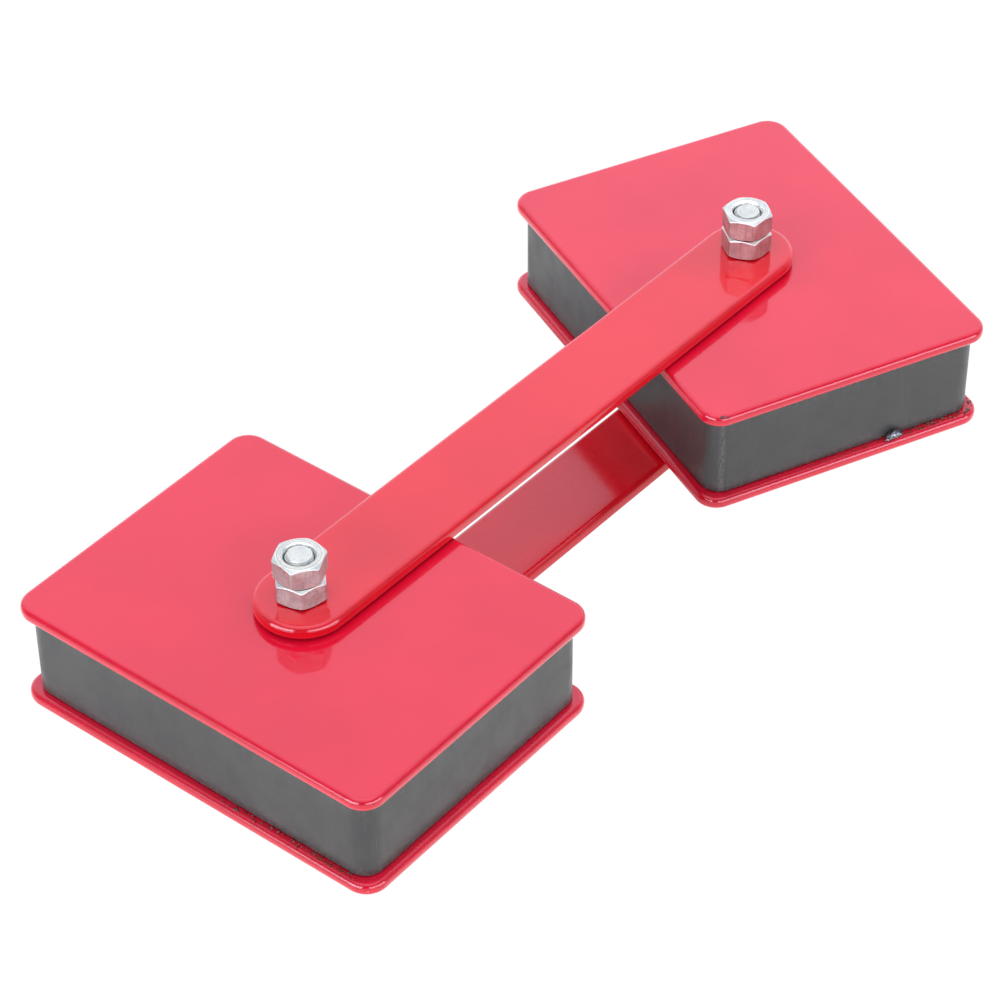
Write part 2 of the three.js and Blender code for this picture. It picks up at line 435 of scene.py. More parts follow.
def slab(name, outer, holes, span, edge_r, grid, seed, segments=8, rows=1, warp=0.03,
         wall_wave=0.0, low_edge_r=None):
    """A flat piece with rounded rims and holes, its faces very slightly out of flat."""
    z_low, z_high = span
    low_r = edge_r if low_edge_r is None else low_edge_r
    flat = FlatMesh(seed, warp)
    ends = [flat.wall(outer, edge_profile(z_low, z_high, edge_r, low_r, segments, rows),
                      loop_wave(seed + 1, len(outer)), wall_wave,
                      waves(seed + 7, WALL_WAVES) if wall_wave else None)]
    hole_profile = edge_profile(z_low, z_high, HOLE_EDGE_R, HOLE_EDGE_R, 3, 1, support=0.08)
    ends += [flat.wall(hole, hole_profile, np.zeros(len(hole))) for hole in holes]

    top_rings, bottom_rings = zip(*ends)
    outer_xy, *holes_xy = flat.ring_points(top_rings)
    inner = face_points(outer_xy, holes_xy, grid)
    insets = [float(gap_to(outer_xy, point)) + edge_r for point in inner]
    flat.cap(top_rings, z_high, inner, insets)
    flat.cap(bottom_rings, z_low, inner, insets)
    return finish_mesh(name, flat.verts, flat.faces, flat.marks)


# ---------------------------------------------------------------- nuts and bolts
def thread_r(z, direction):
    """Radius of the rounded 60 degree thread at a height and a direction."""
    turn = z / PITCH - direction / TAU
    wave = np.clip(1.25 * np.cos(TAU * turn), -1, 1)
    return (CREST_R + ROOT_R) / 2 + (CREST_R - ROOT_R) / 2 * wave


class HexRings:
    """Rings stacked along Z, their points in the directions of a hexagon's outline."""

    def __init__(self, angle):
        outline = hex_outline(angle)
        self.direction = np.arctan2(outline[:, 1], outline[:, 0])
        self.side = np.hypot(outline[:, 0], outline[:, 1])
        # depth of the chamfer where it meets the side
        self.drop = (self.side - CHAMFER_R) * CHAMFER_SLOPE
        self.rings, self.edge = [], []

    def add(self, radius, z, edge=0.0):
        count = len(self.direction)
        radius = np.broadcast_to(radius, (count,))
        self.rings.append(np.stack([radius * np.cos(self.direction),
                                    radius * np.sin(self.direction),
                                    np.broadcast_to(z, (count,))], 1))
        self.edge.extend([edge] * count)

    def add_all(self, stations):
        for station in stations:
            self.add(*station)

    def ids(self):
        count = len(self.direction)
        return [list(range(k * count, (k + 1) * count)) for k in range(len(self.rings))]


def nut_mesh(name, z_low, z_high, angle):
    rings = HexRings(angle)
    side, drop = rings.side, rings.drop
    fillet = 0.11
    low_mouth, high_mouth = 3.42, 3.54      # radii of the bore at the two faces
    # radius, depth from the face, edge weight: along a face, down the chamfer, round the rim
    chamfer = [
        (CHAMFER_R - 0.16, 0.0, 0.0),
        (CHAMFER_R - 0.06, 0.0, 0.5),
        (CHAMFER_R + 0.02, 0.015, 0.8),
        (CHAMFER_R + 0.10, 0.10 * CHAMFER_SLOPE, 0.4),
        (side - fillet - 0.02, drop - (fillet + 0.02) * CHAMFER_SLOPE, 0.3),
        (side - fillet * 0.55, drop - fillet * 0.25, 0.8),
        (side - fillet * 0.14, drop + fillet * 0.16, 1.0),
        (side, drop + fillet * 0.8, 0.7),
        (side, drop + fillet * 0.8 + 0.07, 0.0),
    ]
    side_high, side_low = z_high - drop, z_low + drop
    rings.add_all([(high_mouth + 0.06, z_high, 0.4), (high_mouth + 0.14, z_high)])
    rings.add_all((radius, z_high - depth, edge) for radius, depth, edge in chamfer)
    rings.add_all((side, side_high + (side_low - side_high) * k / 4) for k in (1, 2, 3))
    rings.add_all((radius, z_low + depth, edge) for radius, depth, edge in reversed(chamfer))
    rings.add_all([(low_mouth + 0.14, z_low), (low_mouth + 0.06, z_low, 0.4)])
    # threaded bore, upwards, opened by a cone at each face
    height = z_high - z_low
    levels = max(int(round(height / PITCH * THREAD_STEPS)), 8)
    for k in range(levels + 1):
        z = z_low + 0.03 + (height - 0.06) * k / levels
        cone = max(low_mouth - (z - z_low) * 1.15, high_mouth - (z_high - z) * 0.53)
        rings.add(np.maximum(thread_r(z, rings.direction) + THREAD_CLEAR, cone), z, 0.1)
    ids = rings.ids()
    faces = []
    for ring_a, ring_b in zip(ids, ids[1:] + ids[:1]):
        faces += bridge(ring_a, ring_b)
    return finish_mesh(name, np.concatenate(rings.rings), faces, {"edge": rings.edge})


def bolt_mesh(name, z_end, angle):
    rings = HexRings(angle)
    side, drop = rings.side, rings.drop
    fillet = 0.12
    side_top = HEAD_TOP - 0.2
    # radius, z, edge weight: head from the middle of its outer face, a shallow dish, then the rim
    rings.add_all([
        (0.5, 0.12), (1.5, 0.12), (2.4, 0.115), (3.0, 0.08), (3.5, 0.02), (3.75, 0.0),
        (CHAMFER_R - 0.12, 0.0),
        (CHAMFER_R, 0.01, 0.8),
        (CHAMFER_R + 0.10, 0.10 * CHAMFER_SLOPE, 0.4),
        (side - fillet - 0.02, drop - (fillet + 0.02) * CHAMFER_SLOPE, 0.3),
        (side - fillet * 0.5, drop - fillet * 0.2, 0.8),
        (side - fillet * 0.1, drop + fillet * 0.2, 1.0),
        (side, drop + fillet * 0.9, 0.6),
        (side, drop + fillet * 0.9 + 0.08),
    ])
    rings.add_all((side, drop + (side_top - drop) * k / 4) for k in (1, 2, 3))
    # upper rim of the hexagon, then the low round collar on top of the head
    rings.add_all([
        (side, side_top - 0.18),
        (side, side_top - 0.10, 0.7),
        (side - 0.03, side_top - 0.03, 1.0),
        (side - 0.10, side_top, 0.8),
        (side - 0.20, side_top),
        (4.72, side_top),
        (4.64, side_top + 0.02, 0.5),
        (4.60, HEAD_TOP - 0.06, 0.8),
        (4.54, HEAD_TOP, 0.6),
        (4.44, HEAD_TOP),
        (3.28, HEAD_TOP),
    ])
    for k in range(1, 5):
        turn = math.pi / 2 * k / 4
        rings.add(CREST_R + SHANK_FILLET_R * (1 - math.sin(turn)),
                  HEAD_TOP + SHANK_FILLET_R * (1 - math.cos(turn)))
    for z in np.linspace(HEAD_TOP + 0.5, THREAD_FROM - 1.0, 10):
        rings.add(CREST_R, z)
    # thread, cut in over the first turn and a half and chamfered at the end
    levels = int(round((z_end - THREAD_FROM) / PITCH * THREAD_STEPS))
    for k in range(levels + 1):
        z = THREAD_FROM + (z_end - 0.02 - THREAD_FROM) * k / levels
        fade = min(1.0, (z - THREAD_FROM) / 1.5)
        radius = CREST_R - (CREST_R - thread_r(z, rings.direction)) * fade
        rings.add(np.minimum(radius, 2.52 + (z_end - z) * 0.9), z, 0.15)
    rings.add_all([(2.46, z_end, 0.6), (2.34, z_end), (1.5, z_end), (0.7, z_end - 0.01)])

    ids = rings.ids()
    verts, edge = list(np.concatenate(rings.rings)), rings.edge
    faces = []
    for ring_a, ring_b in zip(ids[:-1], ids[1:]):
        faces += bridge(ring_a, ring_b)
    # both ends close on a middle point
    for ring, z in ((ids[0], 0.12), (ids[-1], z_end - 0.012)):
        middle = len(verts)
        verts.append(np.array([0.0, 0.0, z]))
        edge.append(0.0)
        faces += [(ring[i], ring[(i + 1) % len(ring)], middle) for i in range(len(ring))]
    return finish_mesh(name, verts, faces, {"edge": edge})


# ---------------------------------------------------------------- shader nodes
class Net:
    """Node tree of a material or the world. `vec` is its coordinates moved by `shift`, which
    gives each piece its own cut of the textures."""

    def __init__(self, owner, shift=None, kind="Material", space="Object"):
        owner.use_nodes = True
        self.owner, self.tree, self.shift = owner, owner.node_tree, shift
        self.tree.nodes.clear()
        self.out = self.new(f"Output{kind}")
        self.coord = self.new("TexCoord").outputs[space]
        self.vec = self.stretch(self.coord, (1, 1, 1)) if shift else self.coord

    def new(self, kind):
        return self.tree.nodes.new("ShaderNode" + kind)

    def link(self, source, target):
        self.tree.links.new(source, target)

    def put(self, socket, value):
        if value is None:
            return
        if isinstance(value, bpy.types.NodeSocket):
            self.link(value, socket)
        else:
            if socket.type == "RGBA" and len(value) == 3:
                value = (*value, 1.0)
            socket.default_value = value

    def math(self, operation, *values, clamp=False):
        node = self.new("Math")
        node.operation = operation
        node.use_clamp = clamp
        for socket, value in zip(node.inputs, values):
            self.put(socket, value)
        return node.outputs[0]

    def add(self, a, b):
        return self.math("ADD", a, b)

    def sub(self, a, b, clamp=False):
        return self.math("SUBTRACT", a, b, clamp=clamp)

    def mul(self, a, b, clamp=False):
        return self.math("MULTIPLY", a, b, clamp=clamp)

    def radius(self, x, y):
        return self.math("SQRT", self.add(self.mul(x, x), self.mul(y, y)))

    def remap(self, value, span=(0.3, 0.7), to=(0.0, 1.0)):
        """Smooth step over `span`, giving the values `to`."""
        node = self.new("MapRange")
        node.interpolation_type = "SMOOTHSTEP"
        for key, setting in zip(("Value", "From Min", "From Max", "To Min", "To Max"),
                                (value, *span, *to)):
            self.put(node.inputs[key], setting)
        return node.outputs[0]

    def stretch(self, vec, scale):
        node = self.new("Mapping")
        self.put(node.inputs["Vector"], vec)
        node.inputs["Scale"].default_value = scale
        node.inputs["Location"].default_value = self.shift
        return node.outputs[0]

    def noise(self, scale, detail=3.0, rough=0.6, vec=None, distort=0.0):
        node = self.new("TexNoise")
        self.put(node.inputs["Vector"], vec or self.vec)
        for key, value in (("Scale", scale), ("Detail", detail), ("Roughness", rough),
                           ("Distortion", distort)):
            node.inputs[key].default_value = value
        return node.outputs["Fac"]

    def streaks(self, scale, detail=3.0, rough=0.6, vec=None, distort=0.0):
        """Noise with its own scale along each axis."""
        return self.noise(scale=1.0, detail=detail, rough=rough, distort=distort,
                          vec=self.stretch(vec or self.coord, scale))

    def specks(self, scale, size, share):
        """Sparse spots: cells of 1/scale metres, spots of `size` of a cell, in `share` of them."""
        node = self.new("TexVoronoi")
        self.put(node.inputs["Vector"], self.vec)
        node.inputs["Scale"].default_value = scale
        spot = self.remap(node.outputs["Distance"], span=(size * 0.6, size), to=(1.0, 0.0))
        split = self.new("SeparateColor")
        self.put(split.inputs[0], node.outputs["Color"])
        return self.mul(spot, self.math("GREATER_THAN", split.outputs[0], 1.0 - share))

    def mix(self, mask, under, over, mode="MIX"):
        node = self.new("Mix")
        node.data_type = "RGBA"
        node.blend_type = mode
        node.clamp_factor = True
        for k, value in ((0, mask), (6, under), (7, over)):
            self.put(node.inputs[k], value)
        return node.outputs[2]

    def attr(self, name):
        node = self.new("Attribute")
        node.attribute_name = name
        return node.outputs["Fac"]

    def painted_crevice_shade(self, distance, span):
        """Mask from ambient occlusion, for painted shade: 1 in tight corners and contact lines, 0
        in the open.
        """
        node = self.new("AmbientOcclusion")
        node.samples = 6
        node.inputs["Distance"].default_value = distance
        return self.remap(node.outputs["AO"], span=span, to=(1.0, 0.0))

    def xyz(self, vec):
        node = self.new("SeparateXYZ")
        self.put(node.inputs[0], vec)
        return node.outputs

    def compare(self, operation, target):
        """Vector maths of the coordinates with a fixed vector, giving a number."""
        node = self.new("VectorMath")
        node.operation = operation
        self.put(node.inputs[0], self.coord)
        node.inputs[1].default_value = target
        return node.outputs["Value"]

    def bump(self, height, strength, distance):
        node = self.new("Bump")
        self.put(node.inputs["Height"], height)
        node.inputs["Strength"].default_value = strength
        node.inputs["Distance"].default_value = distance
        return node.outputs[0]

    def surface(self, **inputs):
        """Closing step of a material: its Principled shader. Gives the material."""
        node = self.new("BsdfPrincipled")
        for key, value in inputs.items():
            self.put(node.inputs[key.replace("_", " ")], value)
        self.link(node.outputs[0], self.out.inputs["Surface"])
        return self.owner


def material_net(name, shift=None):
    return Net(bpy.data.materials.new(name), shift)


# ---------------------------------------------------------------- materials
def ledge_dirt(net, side):
    """Mask of dirt in a band near the rim, heavier toward `side`: a direction x, y and the
    distances along it, in metres, over which the dirt comes in."""
    inset = net.attr("inset")
    band = net.mul(net.remap(inset, span=(0.35, 1.15)),
                   net.remap(inset, span=(2.6, 5.0), to=(1.0, 0.0)))
    x, y, _ = net.xyz(net.coord)
    along = net.add(net.mul(x, side[0]), net.mul(y, side[1]))
    patches = net.mul(net.remap(net.noise(scale=60), span=(0.40, 0.56), to=(0.10, 1.0)),
                      net.remap(along, span=side[2:], to=(0.06, 1.0)))
    grains = net.remap(net.noise(scale=1350, detail=5.0, rough=0.82, distort=0.5),
                       span=(0.50, 0.58))
    amount = 0.9
    return net.mul(net.mul(band, patches), net.mul(grains, amount), clamp=True)


def red_coat(name, shift, blue=(0.0300, 0.0360), gloss=1.0, matt=0.0, chips=(), dirt_side=None):
    """Glossy coat. `blue` is the blue of its two reds; `chips` are ((x, y, z), radius) in m."""
    net = material_net(name, shift)
    edge = net.attr("edge")
    broad = net.noise(scale=38, detail=2.0, rough=0.5)
    fine = net.noise(scale=1500)
    peel_fine = net.noise(scale=520, detail=2.0, rough=0.45)
    peel_broad = net.noise(scale=190, detail=1.0, rough=0.4)

    base = net.mix(net.remap(broad), (0.690, 0.0050, blue[0]), (0.760, 0.0070, blue[1]))
    base = net.mix(net.remap(fine, span=(0.45, 0.75), to=(0.0, 0.10)), base,
                   over=(0.52, 0.003, 0.010))
    # the coat pulls thin over the rounded edges and shows darker there, in broken lengths
    thin = net.mul(edge, net.remap(net.noise(scale=260, detail=4.0), span=(0.40, 0.66)))
    base = net.mix(net.mul(thin, 0.30), base, over=(0.46, 0.002, 0.006))
    nicks = net.mul(edge, net.remap(net.noise(scale=820, detail=4.0, rough=0.65),
                                    span=(0.685, 0.73)))
    base = net.mix(nicks, base, over=(0.09, 0.035, 0.025))
    rough = net.remap(net.noise(scale=140), to=(0.035 + matt, 0.060 + matt))
    dust = net.specks(scale=95, size=0.018, share=0.16)
    base = net.mix(net.mul(dust, 0.75), base, over=(0.85, 0.72, 0.68))
    dark_specks = net.specks(scale=260, size=0.035, share=0.05)
    base = net.mix(net.mul(dark_specks, 0.5), base, over=(0.16, 0.01, 0.01))
    # painted shade: the coat darkened in tight corners and along contact lines, from ambient
    # occlusion
    painted_crevice_shade = net.painted_crevice_shade(distance=0.0009, span=(0.34, 0.72))
    base = net.mix(net.mul(painted_crevice_shade, 0.40), base, over=(0.20, 0.004, 0.008))
    height = net.add(net.mul(peel_fine, 0.55), net.mul(peel_broad, 0.9))
    coat = gloss
    if dirt_side:
        dirt = ledge_dirt(net, dirt_side)
        shade = net.remap(net.noise(scale=1900, detail=2.0, rough=0.5), span=(0.42, 0.62))
        dirt_colour = net.mix(shade, (0.035, 0.010, 0.009), (0.24, 0.10, 0.035))
        base = net.mix(dirt, base, dirt_colour)
        rough = net.add(rough, net.mul(dirt, 0.45))
        coat = net.sub(gloss, net.mul(dirt, 0.85), clamp=True)
        height = net.add(height, net.mul(dirt, 1.6))
    for centre, radius in chips:
        distance = net.compare("DISTANCE", centre)
        wobble = net.sub(net.noise(scale=2100, detail=4.0, rough=0.7, vec=net.coord), 0.5)
        distance = net.add(distance, net.mul(wobble, radius * 3.4))
        chip = net.remap(distance, span=(radius * 0.7, radius * 0.95), to=(1.0, 0.0))
        base = net.mix(chip, base, over=(0.035, 0.02, 0.02))
        height = net.sub(height, net.mul(chip, 2.0))
        rough = net.add(rough, net.mul(chip, 0.4))
    normal = net.bump(height, strength=0.085, distance=0.00011)
    return net.surface(Base_Color=base, Roughness=net.add(rough, 0.16), Normal=normal, IOR=1.45,
                       Coat_Weight=coat, Coat_Roughness=rough, Coat_IOR=1.5,
                       Coat_Normal=normal, Specular_IOR_Level=0.15)


def grey_body(name, shift, scuff=None):
    """Dark moulding. `scuff` is the x, y in metres of an upright line rubbed pale."""
    net = material_net(name, shift)
    broad = net.noise(scale=30, detail=2.0, rough=0.5)
    cloud = net.noise(scale=160, detail=4.0)
    grain = net.noise(scale=5200, detail=2.0)
    drag = net.streaks(scale=(1100, 1100, 42), detail=4.0, rough=0.62)
    corner = net.attr("corner")
    edge = net.attr("edge")
    base = net.mix(net.remap(broad), (0.0415, 0.0415, 0.0365), (0.0490, 0.0490, 0.0435))
    base = net.mix(net.remap(cloud, span=(0.35, 0.75), to=(0.0, 0.35)), base,
                   over=(0.028, 0.028, 0.0275))
    base = net.mix(net.remap(drag, span=(0.52, 0.78), to=(0.0, 0.10)), base,
                   over=(0.10, 0.10, 0.098))
    # rubbed pale along the upright corners and at the rims
    rub = net.mul(corner, net.remap(net.streaks(scale=(1700, 1700, 130), detail=5.0, rough=0.7),
                                    span=(0.50, 0.68)))
    base = net.mix(net.mul(rub, 0.06), base, over=(0.30, 0.30, 0.29))
    if scuff:
        x, y, _ = net.xyz(net.coord)
        away = net.radius(net.sub(x, scuff[0]), net.sub(y, scuff[1]))
        wobble = net.sub(net.noise(scale=900, detail=4.0, rough=0.7, vec=net.coord), 0.5)
        away = net.add(away, net.mul(wobble, 0.0010))
        line = net.remap(away, span=(0.0001, 0.0010), to=(1.0, 0.0))
        broken = net.remap(net.streaks(scale=(3200, 3200, 900), detail=4.0, rough=0.7),
                           span=(0.40, 0.60))
        base = net.mix(net.mul(net.mul(line, broken), 0.30), base, over=(0.30, 0.30, 0.29))
    rim = net.mul(edge, net.remap(net.noise(scale=900, detail=4.0, rough=0.7),
                                  span=(0.46, 0.62)))
    base = net.mix(net.mul(rim, 0.45), base, over=(0.25, 0.25, 0.24))
    scratches = net.remap(net.streaks(scale=(5200, 5200, 70), detail=2.0, rough=0.5,
                                      distort=0.6), span=(0.66, 0.72))
    base = net.mix(net.mul(scratches, 0.07), base, over=(0.26, 0.26, 0.26))
    pits = net.specks(scale=210, size=0.04, share=0.07)
    base = net.mix(pits, base, over=(0.02, 0.02, 0.022))
    lint = net.specks(scale=150, size=0.022, share=0.06)
    base = net.mix(net.mul(lint, 0.7), base, over=(0.6, 0.6, 0.6))
    rough = net.add(net.remap(cloud, to=(0.30, 0.42)), net.mul(rub, 0.12))
    height = net.add(net.mul(grain, 0.35), net.mul(drag, 0.5))
    height = net.sub(height, net.mul(pits, 1.5))
    normal = net.bump(height, strength=0.14, distance=0.00010)
    return net.surface(Base_Color=base, Roughness=rough, Normal=normal, IOR=1.5,
                       Specular_IOR_Level=0.5)


WHITE = (1.0, 1.0, 1.0)


def zinc(name, shift, streak, ringed, spotty, flank_light_tint=WHITE, crown_light_tint=WHITE, blur=0.0, milky=0.0):
    """Plated steel. `streak` is the strength of the streaks on the sides, `ringed` of the rings
    on the faces, `spotty` of the dark blotches; the flank and crown tints are a painted tint of
    the reflected light on the sides and on the faces; `blur` roughens the sides and `milky`
    makes them less metallic."""
    net = material_net(name, shift)
    x, y, _ = net.xyz(net.coord)
    radius = net.radius(x, y)
    # turned faces: rings of uneven strength round the axis
    radial = net.new("CombineXYZ")
    net.put(radial.inputs[0], radius)
    rings = net.streaks(vec=radial.outputs[0], scale=(4200, 1, 1), rough=0.7)
    blotch = net.noise(scale=1500, detail=4.0, rough=0.75)
    wobble = net.noise(scale=2300, detail=4.0, rough=0.7)
    drawn = net.streaks(scale=(3400, 3400, 170), rough=0.65)
    patch = net.noise(scale=420)
    normal_z = net.xyz(net.new("NewGeometry").outputs["Normal"])[2]
    face = net.remap(net.math("ABSOLUTE", normal_z), span=(0.80, 0.95))
    side = net.sub(1.0, face)
    edge = net.attr("edge")
    tint = net.mix(net.remap(patch), (0.53, 0.55, 0.475), (0.65, 0.645, 0.55))
    tint = net.mix(net.mul(face, net.remap(rings, span=(0.44, 0.62), to=(0.0, ringed))), tint,
                   over=(0.33, 0.36, 0.32))
    tint = net.mix(net.remap(blotch, span=(0.54, 0.64), to=(0.0, spotty)), tint,
                   over=(0.25, 0.27, 0.24))
    tint = net.mix(net.mul(side, net.remap(drawn, span=(0.45, 0.68), to=(0.0, streak))), tint,
                   over=(0.34, 0.34, 0.33))
    # painted reflection: sides and faces tinted apart, for the colour of the light each reflects
    tint = net.mix(side, tint, flank_light_tint, mode="MULTIPLY")
    tint = net.mix(face, tint, crown_light_tint, mode="MULTIPLY")
    # painted highlight: the rims lighter, where they would catch the light
    tint = net.mix(net.mul(edge, 0.70), tint, over=(0.88, 0.89, 0.80))
    # painted highlight: the cone at the mouth of a nut's bore painted bright
    cone = net.mul(net.remap(radius, span=(0.00300, 0.00315)),
                   net.remap(radius, span=(0.00353, 0.00359), to=(1.0, 0.0)))
    cone = net.mul(cone, net.remap(net.noise(scale=900), span=(0.36, 0.50), to=(0.55, 1.0)))
    tint = net.mix(cone, tint, over=(0.97, 0.98, 0.93))
    # painted shade: the thread flanks round the bolt darkened, in the gap between bolt and nut
    painted_groove_shade = net.mul(net.remap(radius, span=(0.00250, 0.00258)),
                     net.remap(radius, span=(0.00272, 0.00295), to=(1.0, 0.0)))
    painted_groove_shade = net.mul(painted_groove_shade, net.remap(net.noise(scale=700), span=(0.34, 0.60), to=(0.0, 0.40)))
    tint = net.mix(painted_groove_shade, tint, over=(0.10, 0.105, 0.10))
    # painted shade: darker in tight corners and along contact lines, between the nuts and against
    # the bar
    painted_crevice_shade = net.painted_crevice_shade(distance=0.0006, span=(0.30, 0.70))
    tint = net.mix(net.mul(painted_crevice_shade, 0.85), tint, over=(0.045, 0.042, 0.040))
    side_rough = net.mul(side, net.remap(drawn, to=(0.12 + blur, 0.22 + blur)))
    rough = net.add(net.remap(patch, to=(0.20, 0.30)), side_rough)
    rough = net.sub(rough, net.mul(cone, 0.06))
    height = net.add(net.mul(net.mul(rings, face), 0.7),
                     net.add(net.mul(net.mul(drawn, side), 0.7), net.mul(wobble, 0.35)))
    normal = net.bump(height, strength=0.50, distance=0.00006)
    metallic = net.remap(side, span=(0.0, 1.0), to=(1.0, 1.0 - milky))
    return net.surface(Base_Color=tint, Metallic=metallic, Roughness=rough, Normal=normal)


def ferrite(name, shift):
    net = material_net(name, shift)
    grain = net.noise(scale=2600, detail=4.0, rough=0.7)
    cloud = net.noise(scale=120, rough=0.5)
    base = net.mix(net.remap(cloud), (0.018, 0.018, 0.020), (0.034, 0.034, 0.037))
    base = net.mix(net.specks(scale=900, size=0.12, share=0.12), base, over=(0.10, 0.10, 0.11))
    normal = net.bump(grain, strength=0.5, distance=0.00012)
    return net.surface(Base_Color=base, Roughness=net.remap(grain, to=(0.48, 0.72)),
                       Normal=normal)


def plain_steel(name, shift):
    net = material_net(name, shift)
    turned = net.streaks(scale=(180, 180, 5200))
    cloud = net.noise(scale=260)
    base = net.mix(net.remap(cloud), (0.40, 0.40, 0.41), (0.54, 0.54, 0.55))
    base = net.mix(net.remap(turned, span=(0.55, 0.75), to=(0.0, 0.4)), base,
                   over=(0.25, 0.24, 0.24))
    normal = net.bump(turned, strength=0.3, distance=0.00008)
    return net.surface(Base_Color=base, Metallic=1.0,
                       Roughness=net.remap(turned, to=(0.28, 0.45)), Normal=normal)


def swarf(name, metallic, rust):
    """Grainy metal; `rust` is the least and the greatest share of the warm colours."""
    net = material_net(name)
    grain = net.noise(scale=1800, detail=4.0, rough=0.7)
    cloud = net.noise(scale=420, detail=2.0, rough=0.5)
    light_grains = (0.4, 0.6)
    base = net.mix(net.remap(grain, span=light_grains), (0.045, 0.045, 0.05),
                   (0.34, 0.36, 0.39))
    warm = net.mix(net.remap(grain, span=light_grains), (0.022, 0.010, 0.008),
                   (0.20, 0.12, 0.045))
    base = net.mix(net.remap(cloud, span=(0.40, 0.60), to=rust), base, warm)
    normal = net.bump(grain, strength=0.6, distance=0.0001)
    rough = net.remap(grain, span=(0.35, 0.65), to=(0.6, 0.32))
    return net.surface(Base_Color=base, Metallic=metallic, Roughness=rough, Normal=normal)


def flake(name):
    net = material_net(name)
    grain = net.noise(scale=1500)
    base = net.mix(net.remap(grain, span=(0.4, 0.6)), (0.55, 0.16, 0.16), (0.86, 0.74, 0.70))
    return net.surface(Base_Color=base, Roughness=net.remap(grain, to=(0.25, 0.5)),
                       Normal=net.bump(grain, strength=0.4, distance=0.00005))


# ---------------------------------------------------------------- link bars
def link_bar(k, node):
    """Both holes sit off the bar's centreline."""
    low, high = box_mm(node)
    width = high[1] - low[1]
    outline = stadium_outline(low[0] + width / 2, high[0] - width / 2, (high[1] + low[1]) / 2,
                              width)
    mesh = slab(node, outline, [circle_hole(*AXIS[block], BOLT_HOLE_R) for block in "ab"],
                z_span(node), edge_r=COATED_EDGE_R, grid=3.2, seed=40 + k,
                low_edge_r=BAR_LOW_EDGE_R)
    coat = red_coat(f"red_coat_bar_{k + 1}", (0.31 * k, 0.17, 0.05 + k), blue=(0.0150, 0.0185),
                    gloss=1.0 - 0.10 * k, matt=0.07 * k)
    place(node + "_coated", mesh, coat, "link", node)


# ---------------------------------------------------------------- blocks
# Chips in the coat of top plate B: distance in from the -X side, in from the -Y side,
# depth below the top, radius.
CHIPS = [(3.2, 0.75, 0.12, 0.52), (4.3, 0.50, 0.32, 0.36), (3.9, 0.95, 0.10, 0.24)]

# Dirt on the bottom plates: direction x, y, then where along it the dirt comes in, in metres.
DIRT_SIDE = {"a": (-0.94, -0.34, 0.030, 0.042), "b": (0.41, -0.91, 0.030, 0.048)}

# the flank and crown tints are a painted tint of the reflected light on the nuts' sides and faces
NUT_LOOK = {
    "a": dict(streak=0.22, ringed=0.72, spotty=0.60, flank_light_tint=(0.85, 0.94, 0.98),
              crown_light_tint=(1.0, 0.97, 0.94), blur=0.08, milky=0.07),
    "b": dict(streak=0.60, ringed=0.15, spotty=0.35, flank_light_tint=(0.90, 0.80, 0.84), milky=0.02),
}


def plate(block, which, number):
    node = f"block_{block}_{which}_plate"
    width, length = PLATE_SIZE[block]
    yaw, seed, span = YAW[block], BLOCK_SEED[block], z_span(node)
    outline = rect_outline(width, length, PLATE_CORNER_R, corner_steps=14, side_steps=40)
    mesh = slab(node, outline, [circle_hole(0, 0, BOLT_HOLE_R)], span, edge_r=COATED_EDGE_R,
                grid=3.6, seed=seed + number)
    chips, dirt_side = [], None
    if which == "bottom":
        dir_x, dir_y, *reach = DIRT_SIDE[block]
        dirt_side = (*rotate(dir_x, dir_y, yaw), *reach)
    elif block == "b":
        for in_x, in_y, depth, radius in CHIPS:
            x, y = rotate(-(width / 2 - in_x) * MM, -(length / 2 - in_y) * MM, yaw)
            chips.append(((x, y, (span[1] - depth) * MM), radius * MM))
    coat = red_coat(f"red_coat_{block}_{which}", (0.1 * seed, 0.07 * number, 0.3 * number),
                    chips=chips, dirt_side=dirt_side)
    place(node + "_coated", mesh, coat, f"block_{block}", node, AXIS[block], yaw)


def moulded_body(block):
    """Body with its two magnet pockets and the hole for the bolt's boss."""
    node = f"block_{block}_body"
    width, length = BODY_SIZE[block]
    yaw, seed = YAW[block], BLOCK_SEED[block]
    pocket_length = length / 2 - BODY_WALL - BODY_WEB / 2
    pocket_y = BODY_WEB / 2 + pocket_length / 2
    holes = [as_hole(rect_outline(width - 2 * BODY_WALL, pocket_length, POCKET_CORNER_R,
                                  corner_steps=6, side_steps=14, centre_y=y))
             for y in (pocket_y, -pocket_y)]
    holes.append(circle_hole(0, 0, BOSS_HOLE_R))
    outline = rect_outline(width, length, BODY_CORNER_R, corner_steps=16, side_steps=44)
    mesh = slab(node, outline, holes, z_span(node), edge_r=BODY_EDGE_R, grid=4.0, seed=seed + 5,
                segments=4, rows=12, warp=0.02, wall_wave=0.05)
    scuff = None
    if block == "b":
        # a line on the upright corner at -X, -Y, which faces the camera
        corner_x, corner_y = width / 2 - BODY_CORNER_R, length / 2 - BODY_CORNER_R
        scuff = rotate(-(corner_x + BODY_CORNER_R * 0.42) * MM,
                       -(corner_y + BODY_CORNER_R * 0.907) * MM, yaw)
    place(node + "_moulded", mesh, grey_body(f"grey_body_{block}", (0.2 * seed, 0.4, 0.1), scuff),
          f"block_{block}", node, AXIS[block], yaw)


